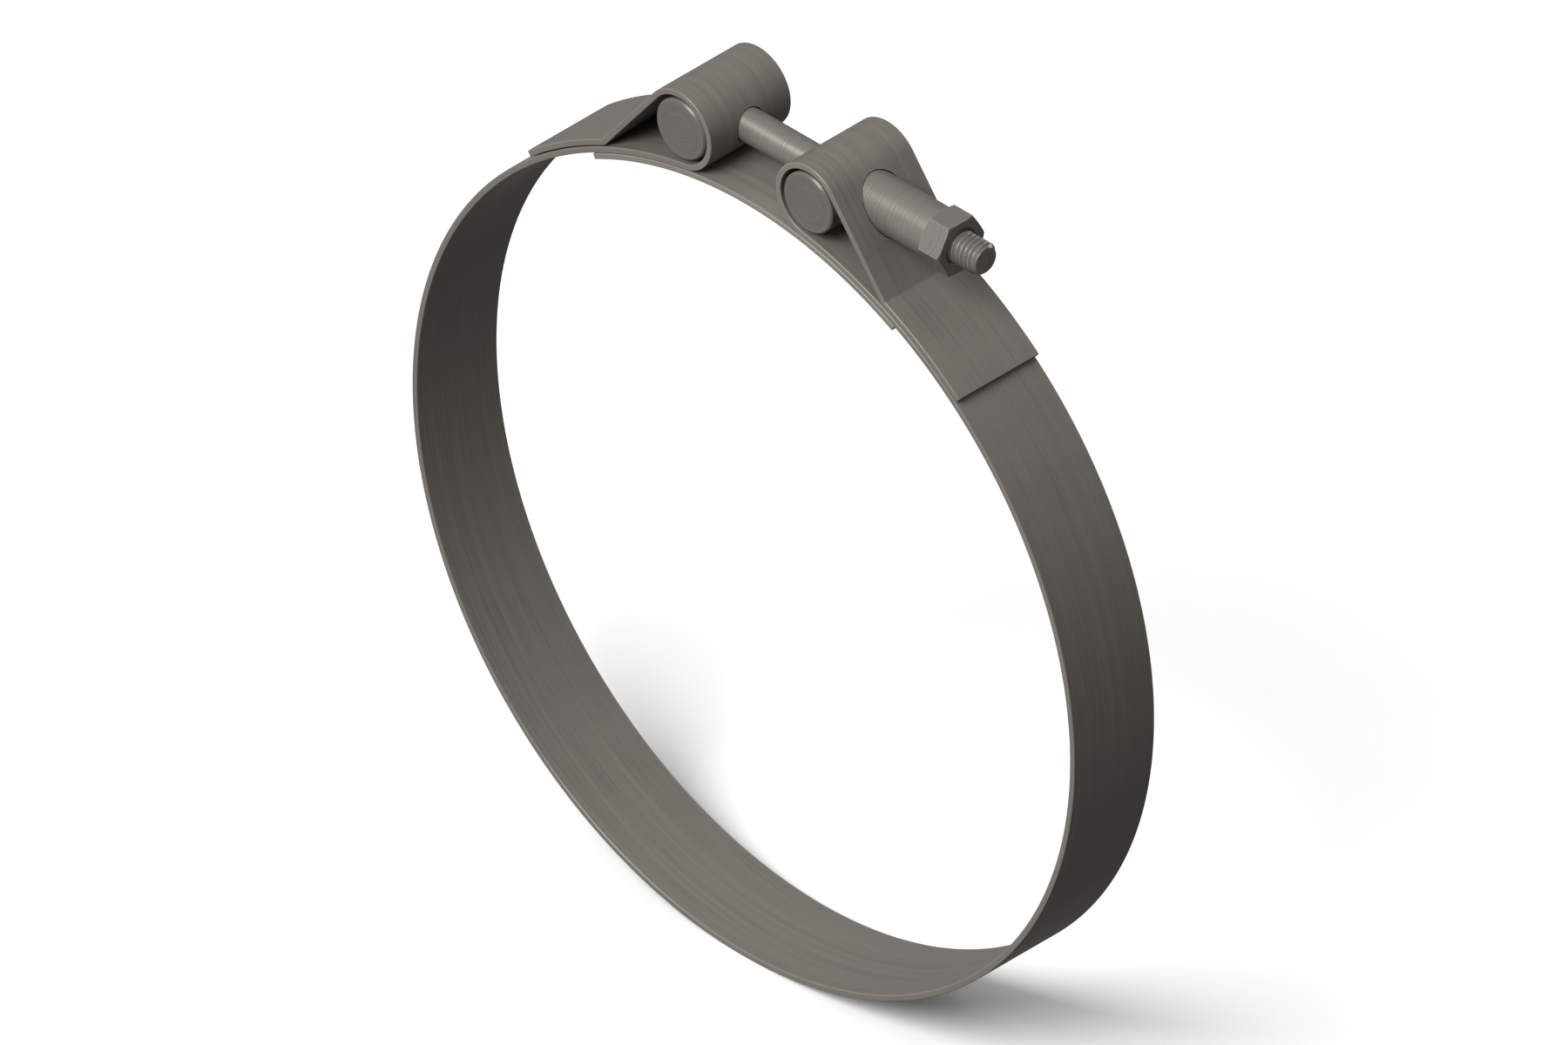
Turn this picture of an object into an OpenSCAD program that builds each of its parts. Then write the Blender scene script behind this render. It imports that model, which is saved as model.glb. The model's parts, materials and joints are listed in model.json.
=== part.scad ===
// T-bolt clamp: a folded steel band, drawn closed by a bolt between two barrels.
// The origin is on the axis of the band. +Y runs along the bore, +Z up through
// the bolt and +X along the bolt towards the nut. All sizes are in millimetres.

/* [Band] */
// Inner diameter of the band
band_bore_d = 203; // [160:1:260]
// Width of the band
band_w = 25; // [22:1:40]
// Thickness of the strip that the band is folded from
band_t = 1.5; // [1:0.1:2]

/* [Loops] */
// Distance between the axes of the two loops
loop_spacing = 40; // [36:1:56]
// Gap round a barrel that is centred in its loop
loop_gap = 1; // [0.8:0.05:1.4]
// Length along the band from the axis of a loop to the bend of its return leg
leg_reach = 27; // [24:0.5:36]
// Inside radius of the bend between return leg and flap
bend_r = 1.5; // [0.5:0.1:3]
// Length of the flap past the bend
flap_len = 27; // [18:0.5:36]
// Seam between the flap and the band under it
flap_seam = 0.3; // [0.2:0.05:0.6]

/* [Bridge] */
// Length of the bridge, along its inner face
bridge_len = 96; // [80:1:120]
// Thickness of the bridge
bridge_t = 1.5; // [0.8:0.1:2]
// Gap in which the bridge slides under the band
bridge_gap = 0.1; // [0.05:0.05:0.3]

/* [Spot welds] */
// Diameter of a spot weld
weld_d = 5; // [3:0.5:6]
// Distance between the two spot welds across the band
weld_pitch = 12; // [8:0.5:14]
// Distance of the bridge's spot welds from its end
weld_edge = 9; // [5:0.5:14]

/* [Barrels] */
// Diameter of the barrels
barrel_d = 15; // [14:0.25:18]
// How far the ends of a barrel lie inside the edges of the band
barrel_inset = 0.15; // [0:0.05:1]
// How far the pull of the bolt draws each barrel towards the other
barrel_pull = 0.2; // [0:0.05:0.7]
// Chamfer at the ends of the barrels
barrel_chamfer = 0.4; // [0.2:0.1:1]
// Height of the sleeve's seat above the axis of the slide barrel
seat_h = 4.2; // [3.5:0.1:5.5]

/* [Bolt] */
// Diameter of the bolt
bolt_d = 8; // [6:0.5:9]
// Length of bolt past the nut
bolt_end = 7.5; // [2:0.5:20]
// How far the inner end of the bolt lies inside the anchor barrel
bolt_inset = 1.5; // [1.2:0.1:3]
// Chamfer at the ends of the bolt
bolt_chamfer = 0.8; // [0.5:0.1:1.5]

/* [Sleeve] */
// Outer diameter of the sleeve
sleeve_d = 12.5; // [11.5:0.1:13.5]
// Length of the sleeve
sleeve_len = 25; // [22:0.5:40]
// Chamfer on the rims of the sleeve
sleeve_chamfer = 0.3; // [0.1:0.05:0.5]

/* [Nut] */
// Width of the nut across its flats
nut_af = 13; // [12:0.5:17]
// Height of the nut
nut_h = 6.5; // [4:0.1:10]
// Diameter of the flat face inside the nut's chamfer
nut_face_d = 13.2; // [11:0.1:16]
// Slope of the nut's chamfer, in degrees
nut_slope = 25; // [15:1:35]
// Depth of the countersink at each end of the nut's bore
nut_sink = 0.6; // [0.3:0.1:1]

/* [Fits] */
// Gap round the bolt inside the threads of the nut and the anchor barrel
thread_fit = 0.1; // [0.05:0.05:0.2]
// Gap round the bolt and the sleeve in plain holes
hole_play = 0.3; // [0.2:0.05:0.5]

/* [Hidden] */
$fn = 96;

// Finish of each piece
strip_grey = [0.48, 0.46, 0.435];
bridge_grey = [0.52, 0.5, 0.475];
turned_grey = [0.42, 0.4, 0.385];
bolt_grey = [0.48, 0.46, 0.44];
nut_grey = [0.465, 0.45, 0.43];

// Degrees for each radian
degrees = 180 / PI;
// Widest step of a sector's outline, and how far that outline clears the arc
sector_step = 60;
sector_reach = 1.2;
// Angle that the flap runs on into the bend
flap_lap = 0.2;

// Radii of the ring, of its middle, where loops and bends stand, and of the flaps on it
band_ri = band_bore_d / 2;
band_ro = band_ri + band_t;
foot_r = band_ri + band_t / 2;
flap_ri = band_ro + flap_seam;
flap_ro = flap_ri + band_t;

// How far the tangent arcs and flats of the strip cross, so that they join as one
nip = 0.005;
// Width of cuts that go right through the band
cut_w = 2 * band_w;

// A loop runs on from the ring, tangent to it. The bolt is at the height of its axis
loop_ri = barrel_d / 2 + loop_gap;
loop_ro = loop_ri + band_t;
loop_x = loop_spacing / 2;
loop_c = band_ro + loop_ri - nip;
loop_tilt = asin(loop_x / loop_c);
bolt_z = loop_c * cos(loop_tilt);
loop_axis = [loop_x, bolt_z];
loop_foot = foot_r * ray(90 - loop_tilt);

// The bend is tangent to the flap that lies on the ring
bend_tilt = loop_tilt + leg_reach / flap_ro * degrees;
flap_tilt = bend_tilt + flap_len / flap_ro * degrees;
bend_ro = bend_r + band_t;
bend_axis = (flap_ro + bend_r - nip) * ray(90 - bend_tilt);
bend_foot = foot_r * ray(90 - bend_tilt);

// The return leg is tangent to loop and bend. Its normal points out of the loop
leg_run = bend_axis - loop_axis;
leg_turn = acos((loop_ro + bend_r - 2 * nip) / norm(leg_run));
leg_normal = ray(atan2(leg_run.y, leg_run.x) + leg_turn);

// Radii of the bridge, and its half angle
bridge_ro = band_ri - bridge_gap;
bridge_ri = bridge_ro - bridge_t;
bridge_tilt = bridge_len / bridge_ri * degrees / 2;

// Places along the bolt
barrel_x = loop_x - barrel_pull;
seat_x = barrel_x + seat_h;
nut_x = seat_x + sleeve_len;
bolt_x = bolt_inset - barrel_x - barrel_d / 2;
bolt_len = nut_x + nut_h + bolt_end - bolt_x;

// Diameters of the holes for bolt and sleeve
bolt_hole_d = bolt_d + 2 * hole_play;
sleeve_hole_d = sleeve_d + 2 * hole_play;
thread_d = bolt_d + 2 * thread_fit;

// Unit vector at an angle
function ray(a) = [cos(a), sin(a)];

// Part of a flat ring, between two angles
module sector(ri, ro, from, to) {
  steps = ceil((to - from) / sector_step);
  rim = [for (i = [0:steps]) sector_reach * ro * ray(from + (to - from) * i / steps)];
  intersection() {
    difference() {
      circle(ro);
      circle(ri);
    }
    polygon(concat([[0, 0]], rim));
  }
}

// Stands a flat outline up across the band
module across_band(w) {
  rotate([90, 0, 0])
    linear_extrude(w, center = true)
      children();
}

// Lays what is upright along the bolt's axis, starting at x
module along_bolt(x) {
  translate([x, 0, bolt_z])
    rotate([0, 90, 0])
      children();
}

// Pair of spot welds between two radii, at an angle clockwise from the top
module spot_welds(tilt, ri, ro) {
  for (side = [-1, 1])
    rotate([0, tilt, 0])
      translate([0, side * weld_pitch / 2, ri])
        cylinder(d = weld_d, h = ro - ri);
}

// Round bar across the band, chamfered at both ends, with its axis at x
module barrel(x) {
  r = barrel_d / 2;
  half = band_w / 2 - barrel_inset;
  profile = [
    [0, -half], [r - barrel_chamfer, -half], [r, barrel_chamfer - half],
    [r, half - barrel_chamfer], [r - barrel_chamfer, half], [0, half]
  ];
  translate([x, 0, bolt_z])
    rotate([90, 0, 0])
      rotate_extrude()
        polygon(profile);
}

// Disc that stands across the band, w wide
module round_slab(axis, r, w) {
  across_band(w)
    translate(axis)
      circle(r);
}

// Slab from the axis of the right loop to the foot of its bend, and on to more points.
// One edge is a face of the return leg, at a distance from each of the two axes
module leg_slab(from_loop, from_bend, w, more = []) {
  across_band(w)
    polygon([
      loop_axis,
      loop_axis + (from_loop - nip) * leg_normal,
      bend_axis - (from_bend - nip) * leg_normal,
      bend_axis,
      bend_foot,
      each more
    ]);
}

// Right end of the strip, filled: loop, return leg, bend and flap
module end_outside() {
  difference() {
    union() {
      round_slab(loop_axis, loop_ro, band_w);
      leg_slab(loop_ro, bend_r, band_w);
      across_band(band_w)
        sector(flap_ri, flap_ro, 90 - flap_tilt, 90 - bend_tilt + flap_lap);
    }
    round_slab(bend_axis, bend_r, cut_w);
  }
}

// Hollow inside the right end of the strip
module end_hollow() {
  difference() {
    union() {
      round_slab(loop_axis, loop_ri, cut_w);
      leg_slab(loop_ri, bend_ro, cut_w, [loop_foot]);
    }
    round_slab([0, 0], band_ro, 2 * cut_w);
    round_slab(bend_axis, bend_ro, 2 * cut_w);
  }
}

// The same thing at both ends of the strip
module both_ends() {
  for (turn = [0, 180])
    rotate([0, 0, turn])
      children();
}

// The whole strip, with holes for the bolt and for the sleeve
module band() {
  weld_tilt = (bend_tilt + flap_tilt) / 2;
  weld_sink = band_t / 2;
  color(strip_grey)
    difference() {
      union() {
        across_band(band_w)
          sector(band_ri, band_ro, 90 + loop_tilt, 450 - loop_tilt);
        both_ends()
          end_outside();
        both_ends()
          spot_welds(weld_tilt, band_ro - weld_sink, flap_ri + weld_sink);
      }
      both_ends()
        end_hollow();
      along_bolt(-loop_x)
        cylinder(d = bolt_hole_d, h = loop_spacing);
      along_bolt(loop_x)
        cylinder(d = sleeve_hole_d, h = norm(leg_run) + loop_ro);
    }
}

// Strip inside the band that closes the gap under the bolt, welded at its left end
module inner_bridge() {
  weld_tilt = bridge_tilt - weld_edge / bridge_ri * degrees;
  color(bridge_grey) {
    across_band(band_w)
      sector(bridge_ri, bridge_ro, 90 - bridge_tilt, 90 + bridge_tilt);
    intersection() {
      spot_welds(-weld_tilt, bridge_ro - bridge_t / 2, band_ro);
      across_band(band_w)
        circle(band_ri);
    }
  }
}

// Head of the T: the bolt is screwed into its cross hole
module anchor_barrel() {
  color(turned_grey)
    difference() {
      barrel(-barrel_x);
      along_bolt(-loop_x - barrel_d)
        cylinder(d = thread_d, h = 2 * barrel_d);
    }
}

// Bolt, chamfered at both ends
module bolt_stud() {
  r = bolt_d / 2;
  profile = [
    [0, 0], [r - bolt_chamfer, 0], [r, bolt_chamfer],
    [r, bolt_len - bolt_chamfer], [r - bolt_chamfer, bolt_len], [0, bolt_len]
  ];
  color(bolt_grey)
    along_bolt(bolt_x)
      rotate_extrude()
        polygon(profile);
}

// Barrel that slides on the bolt, with a flat seat for the sleeve
module slide_barrel() {
  color(turned_grey)
    difference() {
      barrel(barrel_x);
      along_bolt(barrel_x - barrel_d)
        cylinder(d = bolt_hole_d, h = 2 * barrel_d);
      along_bolt(seat_x)
        cylinder(d = sleeve_hole_d, h = barrel_d);
    }
}

// Tube between the slide barrel and the nut
module spacer_sleeve() {
  ri = bolt_hole_d / 2;
  ro = sleeve_d / 2;
  profile = [
    [ri, 0], [ro - sleeve_chamfer, 0], [ro, sleeve_chamfer],
    [ro, sleeve_len - sleeve_chamfer], [ro - sleeve_chamfer, sleeve_len], [ri, sleeve_len]
  ];
  color(bolt_grey)
    along_bolt(seat_x)
      rotate_extrude()
        polygon(profile);
}

// Hexagon nut with a flat on top, chamfered outside and countersunk at its bore
module hex_nut() {
  corner_d = nut_af / cos(30);
  face_r = nut_face_d / 2;
  waist_r = face_r + nut_h / 2 / tan(nut_slope);
  bore_r = thread_d / 2;
  cones = [[0, 0], [face_r, 0], [waist_r, nut_h / 2], [face_r, nut_h], [0, nut_h]];
  bore = [
    [0, -nut_sink], [bore_r + 2 * nut_sink, -nut_sink], [bore_r, nut_sink],
    [bore_r, nut_h - nut_sink], [bore_r + 2 * nut_sink, nut_h + nut_sink], [0, nut_h + nut_sink]
  ];
  color(nut_grey)
    along_bolt(nut_x)
      difference() {
        intersection() {
          rotate(30)
            cylinder(d = corner_d, h = nut_h, $fn = 6);
          rotate_extrude()
            polygon(cones);
        }
        rotate_extrude()
          polygon(bore);
      }
}

band();
inner_bridge();
anchor_barrel();
bolt_stud();
slide_barrel();
spacer_sleeve();
hex_nut();
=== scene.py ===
"""T-bolt clamp in satin steel: a folded band, drawn closed by a bolt between two barrels.

The two strips are swept, the bolt is turned with its thread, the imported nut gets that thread
and soft edges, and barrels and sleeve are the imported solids. All lengths are in metres, in the
part's own frame: +Y along the bore of the band, +Z up through the bolt, +X along the bolt
towards the nut.
"""
import json
import math

import bmesh
import bpy
from mathutils import Color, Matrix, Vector


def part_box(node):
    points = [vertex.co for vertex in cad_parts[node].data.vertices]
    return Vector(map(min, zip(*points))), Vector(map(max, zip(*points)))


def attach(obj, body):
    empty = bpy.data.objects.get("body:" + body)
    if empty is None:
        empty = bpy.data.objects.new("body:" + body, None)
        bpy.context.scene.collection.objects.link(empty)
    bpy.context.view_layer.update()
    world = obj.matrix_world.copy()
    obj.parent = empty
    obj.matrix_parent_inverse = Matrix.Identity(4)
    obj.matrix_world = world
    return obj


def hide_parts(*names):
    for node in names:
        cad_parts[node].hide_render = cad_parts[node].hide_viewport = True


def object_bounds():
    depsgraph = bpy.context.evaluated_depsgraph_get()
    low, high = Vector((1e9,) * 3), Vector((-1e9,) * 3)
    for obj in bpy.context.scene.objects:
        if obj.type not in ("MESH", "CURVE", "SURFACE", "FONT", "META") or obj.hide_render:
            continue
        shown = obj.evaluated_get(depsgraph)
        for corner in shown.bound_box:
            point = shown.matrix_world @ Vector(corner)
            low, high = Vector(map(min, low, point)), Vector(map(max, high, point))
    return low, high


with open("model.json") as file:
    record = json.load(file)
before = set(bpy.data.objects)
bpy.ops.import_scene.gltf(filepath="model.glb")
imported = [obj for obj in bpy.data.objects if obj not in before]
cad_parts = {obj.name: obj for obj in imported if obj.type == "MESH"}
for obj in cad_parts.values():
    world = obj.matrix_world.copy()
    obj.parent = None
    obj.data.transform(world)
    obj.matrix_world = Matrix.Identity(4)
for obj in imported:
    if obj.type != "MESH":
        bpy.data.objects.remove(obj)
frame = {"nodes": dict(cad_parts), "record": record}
cad_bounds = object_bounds()

MM = 0.001
TOP = math.pi / 2

# Sizes of the folds and fits, the same as in the solids
BORE_R = 101.5 * MM
STRIP_T = 1.5 * MM
LOOP_SPACING = 40 * MM
LOOP_R = 8.5 * MM
LEG_REACH = 27 * MM
BEND_R = 1.5 * MM
FLAP_LENGTH = 27 * MM
FLAP_SEAM = 0.3 * MM
BRIDGE_LENGTH = 96 * MM
BRIDGE_GAP = 0.1 * MM
HOLE_PLAY = 0.3 * MM
THREAD_FIT = 0.1 * MM
NUT_SINK = 0.6 * MM

# Rounding of cut edges
STRIP_EDGE = 0.25 * MM
NUT_EDGE = 0.1 * MM

# Thread of the bolt, M8, on the part of it that the nut can reach
THREAD_PITCH = 1.25 * MM
THREAD_DEPTH = 0.75 * MM
THREAD_LENGTH = 45 * MM
THREAD_RUNOUT = 2.5 * MM
BOLT_CHAMFER = 0.8 * MM
# One turn of the thread: place along the pitch, and share of the full depth
THREAD_FORM = [(0, 0), (0.125, 0), (0.4375, 0.92), (0.5625, 1), (0.6875, 0.92)]

# How finely curves are cut
RING_STEP = math.radians(1.5)
LOOP_STEP = math.radians(4)
LEG_STEP = 2 * MM
EDGE_STEPS = 3
WIDTH_STEPS = 10
BOLT_SIDES = 64
SHARP_ANGLE = math.radians(40)
FLAT_ANGLE = math.radians(1)
MERGE = MM / 1000

# Share of metal, and roughness, of each finish
STRIP_FINISH = (0.4, 0.42)
BOLT_FINISH = (0.4, 0.36)
NUT_FINISH = (0.35, 0.4)
BARREL_FINISH = (0.3, 0.4)

# Gloss that all the steel has. Highlights stretch across the tool lines, a quarter turn from them
STEEL_GLOSS = {
    "Specular IOR Level": 0.2,
    "Specular Tint": (0.4, 0.4, 0.4, 1),
    "Anisotropic": 0.5,
    "Anisotropic Rotation": 0.25,
}

# Tool lines and smudges, with the middle values that their noise mostly keeps to
ROLLED_STRETCH = (14, 1100, 14)
ROLLED_NOISE = {"Scale": 1, "Detail": 6, "Roughness": 0.7}
TURNED_NOISE = {"Scale": 2200, "Detail": 3, "Roughness": 0.6}
SMUDGE_NOISE = {"Scale": 70, "Detail": 4}
NOISE_LOW = 0.3
NOISE_HIGH = 0.7
LINE_RELIEF = {"Strength": 0.15, "Distance": 0.02 * MM}

# What lines, smudges and abraded edges do to the colour, as shares, and to the roughness
LINE_SHADES = (0.85, 1.15)
SMUDGE_COVER = 0.6
# Lighter colour along edges: abrasion, and also a painted edge highlight
WORN_AND_HIGHLIGHT_SHADE = 1.5
LINE_ROUGHNESS = 0.08
SMUDGE_ROUGHNESS = 0.05
WORN_ROUGHNESS = -0.12

# Abrasion and painted edge highlight along edges. They start, and are full, where a softened normal
# turns by angles of these cosines
WEAR_AND_HIGHLIGHT_REACH = 0.5 * MM
WEAR_AND_HIGHLIGHT_SAMPLES = 4
WEAR_AND_HIGHLIGHT_STARTS = 0.995
WEAR_AND_HIGHLIGHT_FULL = 0.85

# Places that the solids give
band_low, band_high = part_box("band")
bolt_low, bolt_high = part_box("bolt_stud")
sleeve_low, sleeve_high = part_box("spacer_sleeve")
nut_low, nut_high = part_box("hex_nut")
strip_w = band_high.y - band_low.y
bolt_r = (bolt_high.z - bolt_low.z) / 2
bolt_z = (bolt_high.z + bolt_low.z) / 2
sleeve_r = (sleeve_high.z - sleeve_low.z) / 2


# Paths in the plane of the ring, as (x, z) points with the unit vector to their left
def ray(angle):
    """Unit vector at an angle from +X."""
    return Vector((math.cos(angle), math.sin(angle)))


def arc(centre, radius, start, end, step):
    """Path along an arc."""
    count = max(2, round(abs(end - start) / step))
    left = -1 if end > start else 1
    angles = [start + (end - start) * i / count for i in range(count + 1)]
    return [(centre + radius * ray(a), left * ray(a)) for a in angles]


def straight(start, end, step):
    """Path along a line."""
    run = end - start
    count = max(1, round(run.length / step))
    left = Vector((-run.y, run.x)).normalized()
    return [(start + run * i / count, left) for i in range(count + 1)]


def joined(*stretches):
    """One path of several stretches, without the points that they share."""
    path = list(stretches[0])
    for stretch in stretches[1:]:
        path.extend(stretch[1:])
    return path


def band_path():
    """Middle line of the band, from the end of one flap round the ring to the other's."""
    centre = Vector((0, 0))
    band_r = BORE_R + STRIP_T
    flap_r = band_r + FLAP_SEAM + STRIP_T
    loop_mid = LOOP_R + STRIP_T / 2
    bend_mid = BEND_R + STRIP_T / 2

    loop_c = band_r + LOOP_R
    loop_tilt = math.asin(LOOP_SPACING / 2 / loop_c)
    loop_axis = loop_c * ray(TOP - loop_tilt)
    bend_tilt = loop_tilt + LEG_REACH / flap_r
    bend_axis = (flap_r + BEND_R) * ray(TOP - bend_tilt)
    flap_tilt = bend_tilt + (FLAP_LENGTH - STRIP_EDGE) / flap_r

    run = bend_axis - loop_axis
    leg_angle = math.atan2(run.y, run.x) + math.acos((loop_mid + bend_mid) / run.length)
    leg_top = loop_axis + loop_mid * ray(leg_angle)
    leg_foot = bend_axis - bend_mid * ray(leg_angle)

    right = joined(
        arc(centre, BORE_R + STRIP_T / 2, -TOP, TOP - loop_tilt, RING_STEP),
        arc(loop_axis, loop_mid, 3 * TOP - loop_tilt, leg_angle, LOOP_STEP),
        straight(leg_top, leg_foot, LEG_STEP),
        arc(bend_axis, bend_mid, leg_angle + math.pi, 3 * TOP - bend_tilt, LOOP_STEP),
        arc(centre, flap_r - STRIP_T / 2, TOP - bend_tilt, TOP - flap_tilt, RING_STEP),
    )
    flip = Vector((-1, 1))
    left = [(point * flip, side * flip) for point, side in reversed(right)]
    return joined(left, right)


def bridge_path():
    """Middle line of the bridge, under the gap in the band."""
    bridge_r = BORE_R - BRIDGE_GAP - STRIP_T
    half = (BRIDGE_LENGTH / 2 - STRIP_EDGE) / bridge_r
    return arc(Vector((0, 0)), bridge_r + STRIP_T / 2, TOP - half, TOP + half, RING_STEP)


# Meshes
def object_of(name, work):
    """New object of a work mesh, smooth apart from its sharp edges."""
    bmesh.ops.recalc_face_normals(work, faces=work.faces)
    mesh = bpy.data.meshes.new(name)
    work.to_mesh(mesh)
    work.free()
    mesh.shade_smooth()
    mesh.set_sharp_from_angle(angle=SHARP_ANGLE)
    piece = bpy.data.objects.new(name, mesh)
    bpy.context.scene.collection.objects.link(piece)
    return piece


def clean(work):
    """Merges points of a work mesh that meet, and removes edges that have no length."""
    bmesh.ops.remove_doubles(work, verts=work.verts, dist=MERGE)
    bmesh.ops.dissolve_degenerate(work, edges=work.edges, dist=MERGE)


def closed_object(name, verts, faces):
    """New object of these faces, with points that meet merged and open ends filled."""
    work = bmesh.new()
    corners = [work.verts.new(v) for v in verts]
    for face in faces:
        work.faces.new([corners[i] for i in face])
    clean(work)
    bmesh.ops.holes_fill(work, edges=work.edges)
    return object_of(name, work)


def grid_faces(rows, around, first=0, lead=0):
    """Quads between rows of points. Each row closes on itself, or on the row that is lead later."""
    def point(row, i):
        return first + (row + lead * (i // around)) * around + i % around

    return [
        (point(r, i), point(r, i + 1), point(r + 1, i + 1), point(r + 1, i))
        for r in range(rows - 1 - lead) for i in range(around)
    ]


def section(half_t, half_w, edge):
    """Rounded rectangle, as (thickness, width) pairs, with its wide sides cut into steps."""
    outline = []
    for turn, (t, w) in enumerate([(1, 1), (-1, 1), (-1, -1), (1, -1)]):
        for i in range(EDGE_STEPS + 1):
            corner = edge * ray((turn + i / EDGE_STEPS) * TOP)
            outline.append(Vector((t * (half_t - edge), w * (half_w - edge))) + corner)
        wide_side_next = turn % 2
        if wide_side_next:
            last = outline[-1]
            step = Vector((0, -2 * last.y / WIDTH_STEPS))
            outline.extend(last + step * k for k in range(1, WIDTH_STEPS))
    return outline


def rounded_end(point, side, away):
    """Stations that round off the end of a strip, each with the inset of its section."""
    ahead = away * Vector((side.y, -side.x))
    bends = [ray(i / EDGE_STEPS * TOP) for i in range(1, EDGE_STEPS + 1)]
    return [(point + ahead * STRIP_EDGE * b.y, side, STRIP_EDGE * (1 - b.x)) for b in bends]


def swept_strip(name, path):
    """Strip along a path, with rounded edges and ends."""
    stations = [(point, side, 0) for point, side in path]
    stations = [*reversed(rounded_end(*path[0], -1)), *stations, *rounded_end(*path[-1], 1)]
    verts = []
    for point, side, inset in stations:
        for t, w in section(STRIP_T / 2 - inset, strip_w / 2 - inset, STRIP_EDGE - inset):
            place = point + side * t
            verts.append((place.x, w, place.y))
    return closed_object(name, verts, grid_faces(len(stations), len(verts) // len(stations)))


def rod(radius, start, end):
    """Plain rod along the axis of the bolt, as a tool."""
    bpy.ops.mesh.primitive_cylinder_add(
        vertices=BOLT_SIDES, radius=radius, depth=end - start,
        location=((start + end) / 2, 0, bolt_z), rotation=(0, TOP, 0))
    return bpy.context.object


def merge(piece, tool, operation):
    """Adds a tool's shape to a piece or cuts it out, and removes the tool."""
    change = piece.modifiers.new("Merge", "BOOLEAN")
    change.object = tool
    change.operation = operation
    change.solver = "EXACT"
    bpy.context.view_layer.objects.active = piece
    bpy.ops.object.modifier_apply(modifier=change.name)
    bpy.data.objects.remove(tool)
    piece.data.set_sharp_from_angle(angle=SHARP_ANGLE)


def keep_flats(piece):
    """Lets wide faces set the normals, so that they shade flat up to a rounded edge."""
    weigh = piece.modifiers.new("Keep flats", "WEIGHTED_NORMAL")
    weigh.keep_sharp = True


def folded_band(name):
    """Band with its holes for the bolt and the sleeve."""
    band = swept_strip(name, band_path())
    loop_x = LOOP_SPACING / 2
    merge(band, rod(bolt_r + HOLE_PLAY, -loop_x, loop_x), "DIFFERENCE")
    merge(band, rod(sleeve_r + HOLE_PLAY, loop_x, sleeve_high.x), "DIFFERENCE")
    keep_flats(band)
    return band


def bridge_strip(name):
    """Bridge under the gap in the band."""
    bridge = swept_strip(name, bridge_path())
    keep_flats(bridge)
    return bridge


def threaded_bolt(name, grow=0):
    """Bolt with a plain shank, and a thread that runs out into it. It may be grown all round."""
    thread_x = bolt_high.x - THREAD_LENGTH
    turns = [i / BOLT_SIDES for i in range(BOLT_SIDES)]

    def ring_point(x, depth, turn):
        x = min(max(x, bolt_low.x), bolt_high.x)
        from_end = min(x - bolt_low.x, bolt_high.x - x)
        radius = bolt_r + grow - max(depth, BOLT_CHAMFER - from_end, 0)
        across = radius * ray(turn * 2 * math.pi)
        return (x, across.x, bolt_z + across.y)

    shank = [bolt_low.x, bolt_low.x + BOLT_CHAMFER, thread_x]
    verts = [ring_point(x, 0, turn) for x in shank for turn in turns]
    faces = grid_faces(len(shank), BOLT_SIDES)

    # Laps past either end of the thread fall together there, and are merged
    laps = range(-1, math.ceil(THREAD_LENGTH / THREAD_PITCH) + 2)
    form = [(lap + place, depth * THREAD_DEPTH) for lap in laps for place, depth in THREAD_FORM]
    for place, depth in form:
        for turn in turns:
            run = max(0, (place + turn) * THREAD_PITCH)
            verts.append(ring_point(thread_x + run, depth * min(1, run / THREAD_RUNOUT), turn))
    faces += grid_faces(len(form), BOLT_SIDES, len(shank) * BOLT_SIDES, len(THREAD_FORM))
    return closed_object(name, verts, faces)


def threaded_nut(name):
    """Packed nut with the bolt's thread cut into its bore, and its outer edges rounded."""
    blank = bmesh.new()
    blank.from_mesh(frame["nodes"]["hex_nut"].data)
    bmesh.ops.remove_doubles(blank, verts=blank.verts, dist=MERGE)
    bmesh.ops.dissolve_limit(
        blank, angle_limit=FLAT_ANGLE, verts=blank.verts, edges=blank.edges)
    nut = object_of(name, blank)

    # A plug fills the plain bore between its countersinks, and the tap cuts the thread into it
    bore_r = bolt_r + THREAD_FIT
    plug_inset = NUT_SINK - THREAD_FIT / 2
    plug = rod(bore_r + THREAD_FIT, nut_low.x + plug_inset, nut_high.x - plug_inset)
    merge(nut, plug, "UNION")
    merge(nut, threaded_bolt("tap", THREAD_FIT), "DIFFERENCE")

    work = bmesh.new()
    work.from_mesh(nut.data)
    clean(work)
    mouth_r = bore_r + NUT_SINK + MERGE
    outer = {v for v in work.verts if math.hypot(v.co.y, v.co.z - bolt_z) > mouth_r}
    edges = [
        e for e in work.edges
        if outer.issuperset(e.verts) and e.calc_face_angle(0) > SHARP_ANGLE
    ]
    bmesh.ops.bevel(
        work, geom=edges, offset=NUT_EDGE, segments=EDGE_STEPS, profile=0.5, affect="EDGES",
        clamp_overlap=False)
    work.to_mesh(nut.data)
    work.free()
    nut.data.set_sharp_from_angle(angle=SHARP_ANGLE)
    keep_flats(nut)
    return nut


# Materials
def add(tree, kind, inputs=None, **settings):
    """New node in a tree, with its settings, values and links."""
    made = tree.nodes.new(kind)
    for key, value in settings.items():
        setattr(made, key, value)
    for key, value in (inputs or {}).items():
        if isinstance(value, bpy.types.NodeSocket):
            tree.links.new(value, made.inputs[key])
        else:
            made.inputs[key].default_value = value
    return made


def slot_colour(slot):
    """Colour that the record gives a material slot, as linear light."""
    found = next(m for m in frame["record"]["materials"] if m["slot"] == slot)
    return Color(found["base_color"]).from_srgb_to_scene_linear()


def shade(colour, share):
    """Lighter or darker form of a colour, for a node's socket."""
    return (*(colour * share), 1)


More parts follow.
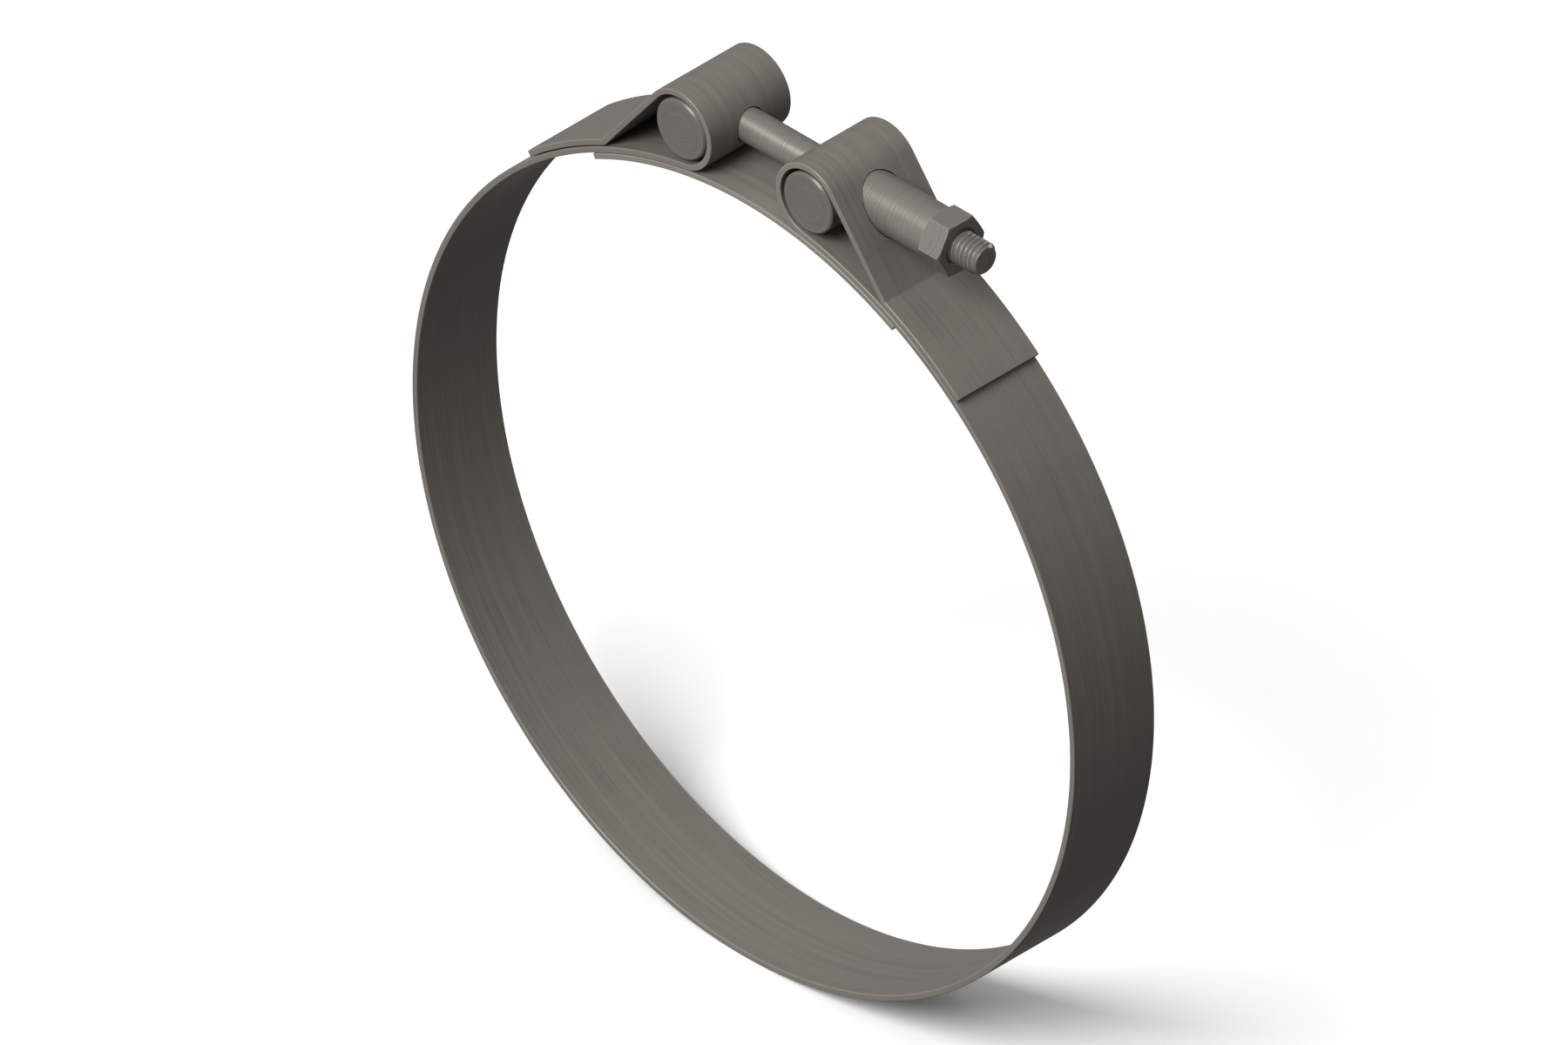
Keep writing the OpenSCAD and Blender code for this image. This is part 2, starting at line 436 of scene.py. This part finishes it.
def rolled_lines(tree, place):
    """Long fine lines that run along a strip wherever it is folded."""
    stretched = add(tree, "ShaderNodeMapping", {"Vector": place, "Scale": ROLLED_STRETCH})
    return add(
        tree, "ShaderNodeTexNoise", {"Vector": stretched.outputs["Vector"], **ROLLED_NOISE},
    ).outputs["Fac"]


def turned_lines(axis, centre):
    """Lines of a turned piece: fine rings round its axis, on its side and on its ends."""
    def lines(tree, place):
        moved = add(tree, "ShaderNodeVectorMath", {0: place, 1: centre}, operation="SUBTRACT")
        from_centre = moved.outputs["Vector"]
        along = add(
            tree, "ShaderNodeVectorMath", {0: from_centre, 1: axis}, operation="DOT_PRODUCT")
        across = add(
            tree, "ShaderNodeVectorMath", {0: from_centre, 1: axis}, operation="CROSS_PRODUCT")
        radius = add(
            tree, "ShaderNodeVectorMath", {0: across.outputs["Vector"]}, operation="LENGTH")
        total = add(
            tree, "ShaderNodeMath", {0: along.outputs["Value"], 1: radius.outputs["Value"]})
        return add(
            tree, "ShaderNodeTexNoise", {"W": total.outputs["Value"], **TURNED_NOISE},
            noise_dimensions="1D",
        ).outputs["Fac"]

    return lines


def edge_wear_and_highlight(tree):
    """Share of abrasion and painted edge highlight, which is full along an edge and none on an open
    face.
    """
    softened = add(tree, "ShaderNodeBevel", {"Radius": WEAR_AND_HIGHLIGHT_REACH}, samples=WEAR_AND_HIGHLIGHT_SAMPLES)
    faced = add(tree, "ShaderNodeNewGeometry")
    turned = add(
        tree, "ShaderNodeVectorMath",
        {0: softened.outputs["Normal"], 1: faced.outputs["Normal"]}, operation="DOT_PRODUCT")
    return add(
        tree, "ShaderNodeMapRange",
        {"Value": turned.outputs["Value"], "From Min": WEAR_AND_HIGHLIGHT_STARTS, "From Max": WEAR_AND_HIGHLIGHT_FULL},
    ).outputs["Result"]


def spread(tree, noise, low, high):
    """Noise, spread from low to high over its middle values."""
    return add(
        tree, "ShaderNodeMapRange",
        {"Value": noise, "From Min": NOISE_LOW, "From Max": NOISE_HIGH,
         "To Min": low, "To Max": high},
    ).outputs["Result"]


def mixed(tree, share, first, second):
    """Colour between two others."""
    return add(
        tree, "ShaderNodeMix", {"Factor": share, "A": first, "B": second}, data_type="RGBA",
    ).outputs["Result"]


def steel(slot, lines, tangent, finish):
    """Satin steel in a slot's colour, with tool lines, smudges, and edges painted lighter for
    abrasion and as a painted highlight.
    """
    material = bpy.data.materials.new(slot)
    material.use_nodes = True
    tree = material.node_tree
    shader = tree.nodes["Principled BSDF"]
    colour = slot_colour(slot)
    metal, roughness = finish
    place = add(tree, "ShaderNodeTexCoord").outputs["Object"]
    grain = lines(tree, place)
    smudge = add(
        tree, "ShaderNodeTexNoise", {"Vector": place, **SMUDGE_NOISE}).outputs["Fac"]
    wear_and_highlight = edge_wear_and_highlight(tree)

    dark, light = (shade(colour, share) for share in LINE_SHADES)
    lined = mixed(tree, spread(tree, grain, 0, 1), dark, light)
    smudged = mixed(tree, spread(tree, smudge, 0, SMUDGE_COVER), lined, shade(colour, 1))
    # Edges are painted lighter: abrasion, and also a painted edge highlight
    worn_and_highlit = mixed(tree, wear_and_highlight, smudged, shade(colour, WORN_AND_HIGHLIGHT_SHADE))

    lined_roughness = spread(tree, grain, roughness - LINE_ROUGHNESS, roughness + LINE_ROUGHNESS)
    smudge_roughness = spread(tree, smudge, -SMUDGE_ROUGHNESS, SMUDGE_ROUGHNESS)
    dull = add(tree, "ShaderNodeMath", {0: lined_roughness, 1: smudge_roughness})
    rubbed = add(
        tree, "ShaderNodeMath",
        {0: wear_and_highlight, 1: WORN_ROUGHNESS, 2: dull.outputs["Value"]}, operation="MULTIPLY_ADD")

    relief = add(tree, "ShaderNodeBump", {"Height": grain, **LINE_RELIEF})
    along = add(tree, "ShaderNodeTangent", direction_type="RADIAL", axis=tangent)
    tree.links.new(worn_and_highlit, shader.inputs["Base Color"])
    tree.links.new(rubbed.outputs["Value"], shader.inputs["Roughness"])
    tree.links.new(relief.outputs["Normal"], shader.inputs["Normal"])
    tree.links.new(along.outputs["Tangent"], shader.inputs["Tangent"])
    shader.inputs["Metallic"].default_value = metal
    for key, value in STEEL_GLOSS.items():
        shader.inputs[key].default_value = value
    return material


def dress(piece, material):
    """Gives a new piece its one material."""
    piece.data.materials.clear()
    piece.data.materials.append(material)


# Pieces
band = folded_band("band_strip")
bridge = bridge_strip("bridge_strip")
bolt = threaded_bolt("threaded_bolt")
nut = threaded_nut("threaded_nut")

for piece, body, node in (
    (band, "clamp", "band"),
    (bridge, "clamp", "inner_bridge"),
    (bolt, "clamp", "bolt_stud"),
    (nut, "nut", "hex_nut"),
):
    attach(piece, body)
    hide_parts(node)

bolt_lines = turned_lines((1, 0, 0), (0, 0, bolt_z))
bolt_steel = steel("bolt_steel", bolt_lines, "X", BOLT_FINISH)
dress(band, steel("strip_steel", rolled_lines, "Y", STRIP_FINISH))
dress(bridge, steel("bridge_steel", rolled_lines, "Y", STRIP_FINISH))
dress(bolt, bolt_steel)
dress(nut, steel("nut_steel", bolt_lines, "X", NUT_FINISH))
frame["nodes"]["spacer_sleeve"].material_slots[0].material = bolt_steel
for node in ("anchor_barrel", "slide_barrel"):
    low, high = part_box(node)
    barrel_lines = turned_lines((0, 1, 0), (low + high) / 2)
    barrel_steel = steel("turned_steel", barrel_lines, "Y", BARREL_FINISH)
    frame["nodes"][node].material_slots[0].material = barrel_steel


# Camera, at the photograph's angle. The image is taken as 1800 by 1200 pixels
PHOTO_W = 1800
PHOTO_H = 1200
PIXELS_PER_M = 5220
RING_CENTRE_PX = (899.2, 632.6)
VIEW_AZIMUTH = math.radians(45)
VIEW_ELEVATION = math.asin(1 / math.sqrt(3))
VIEW_DISTANCE = 1

right = Vector((math.cos(VIEW_AZIMUTH), math.sin(VIEW_AZIMUTH), 0))
back = Vector((
    math.sin(VIEW_AZIMUTH) * math.cos(VIEW_ELEVATION),
    -math.cos(VIEW_AZIMUTH) * math.cos(VIEW_ELEVATION),
    math.sin(VIEW_ELEVATION)))
up = back.cross(right)
aim = right * (PHOTO_W / 2 - RING_CENTRE_PX[0]) / PIXELS_PER_M
aim += up * (RING_CENTRE_PX[1] - PHOTO_H / 2) / PIXELS_PER_M
camera_data = bpy.data.cameras.new("Camera")
camera_data.type = "ORTHO"
camera_data.sensor_fit = "HORIZONTAL"
camera_data.ortho_scale = PHOTO_W / PIXELS_PER_M
camera = bpy.data.objects.new("Camera", camera_data)
camera.location = aim + back * VIEW_DISTANCE
camera.rotation_euler = (-back).to_track_quat("-Z", "Y").to_euler()
bpy.context.scene.collection.objects.link(camera)
bpy.context.scene.camera = camera

# Stage and light
KEY_FROM = Vector((0, -0.7, 0.71))
KEY_STRENGTH = 3.5
FILL_FROM = Vector((0, 1, 0))
FILL_STRENGTH = 1.6
LAMP_WIDTH = math.radians(35)
BRIGHT_SIDE = Vector((-1, -1, 1)).normalized()
# Levels of the dome, from the side that is turned away from the bright one up to the bright one
DOME_LEVELS = [(0, 0.05), (0.35, 0.14), (0.55, 0.37), (0.7, 0.5), (1, 0.65)]
MIRRORED_WHITE = 0.15
FLOOR_GAP = 0.05 * MM
FLOOR_SIZE = 40
FLOOR_GREY = 0.9


def studio_dome():
    """Soft light from all round. The camera sees it white, and metal shows some of that white."""
    world = bpy.data.worlds.new("Studio")
    bpy.context.scene.world = world
    world.use_nodes = True
    tree = world.node_tree
    direction = add(tree, "ShaderNodeTexCoord").outputs["Generated"]
    facing = add(
        tree, "ShaderNodeVectorMath", {0: direction, 1: BRIGHT_SIDE}, operation="DOT_PRODUCT")
    share = add(
        tree, "ShaderNodeMapRange",
        {"Value": facing.outputs["Value"], "From Min": -1, "From Max": 1})
    ramp = add(tree, "ShaderNodeValToRGB", {"Fac": share.outputs["Result"]})
    stops = ramp.color_ramp.elements
    for place, _ in DOME_LEVELS[1:-1]:
        stops.new(place)
    for stop, (_, level) in zip(stops, DOME_LEVELS):
        stop.color = (level, level, level, 1)

    ray_kind = add(tree, "ShaderNodeLightPath").outputs
    seen = add(
        tree, "ShaderNodeMath",
        {0: ray_kind["Is Camera Ray"], 1: ray_kind["Is Transmission Ray"]}, operation="MAXIMUM")
    white = add(
        tree, "ShaderNodeMath",
        {0: ray_kind["Is Glossy Ray"], 1: MIRRORED_WHITE, 2: seen.outputs["Value"]},
        operation="MULTIPLY_ADD", use_clamp=True)
    shown = mixed(tree, white.outputs["Value"], ramp.outputs["Color"], (1, 1, 1, 1))
    tree.links.new(shown, tree.nodes["Background"].inputs["Color"])


def pale_floor():
    """White floor that takes the shadow. The dome stands in for it in the light on the object."""
    floor_z = cad_bounds[0].z - FLOOR_GAP
    bpy.ops.mesh.primitive_plane_add(size=FLOOR_SIZE, location=(0, 0, floor_z))
    floor = bpy.context.object
    floor.name = "Floor"
    material = bpy.data.materials.new("Floor")
    material.use_nodes = True
    shader = material.node_tree.nodes["Principled BSDF"]
    shader.inputs["Base Color"].default_value = (FLOOR_GREY, FLOOR_GREY, FLOOR_GREY, 1)
    shader.inputs["Roughness"].default_value = 1
    shader.inputs["Specular IOR Level"].default_value = 0
    floor.data.materials.append(material)
    floor.visible_glossy = False
    floor.visible_diffuse = False


def soft_lamp(name, come_from, strength):
    """Far lamp that is wide enough for soft shadows."""
    light = bpy.data.lights.new(name, "SUN")
    light.energy = strength
    light.angle = LAMP_WIDTH
    lamp = bpy.data.objects.new(name, light)
    lamp.rotation_euler = (-come_from).to_track_quat("-Z", "Y").to_euler()
    bpy.context.scene.collection.objects.link(lamp)


studio_dome()
pale_floor()
soft_lamp("Key", KEY_FROM, KEY_STRENGTH)
soft_lamp("Fill", FILL_FROM, FILL_STRENGTH)
bpy.context.scene.view_settings.view_transform = "Standard"
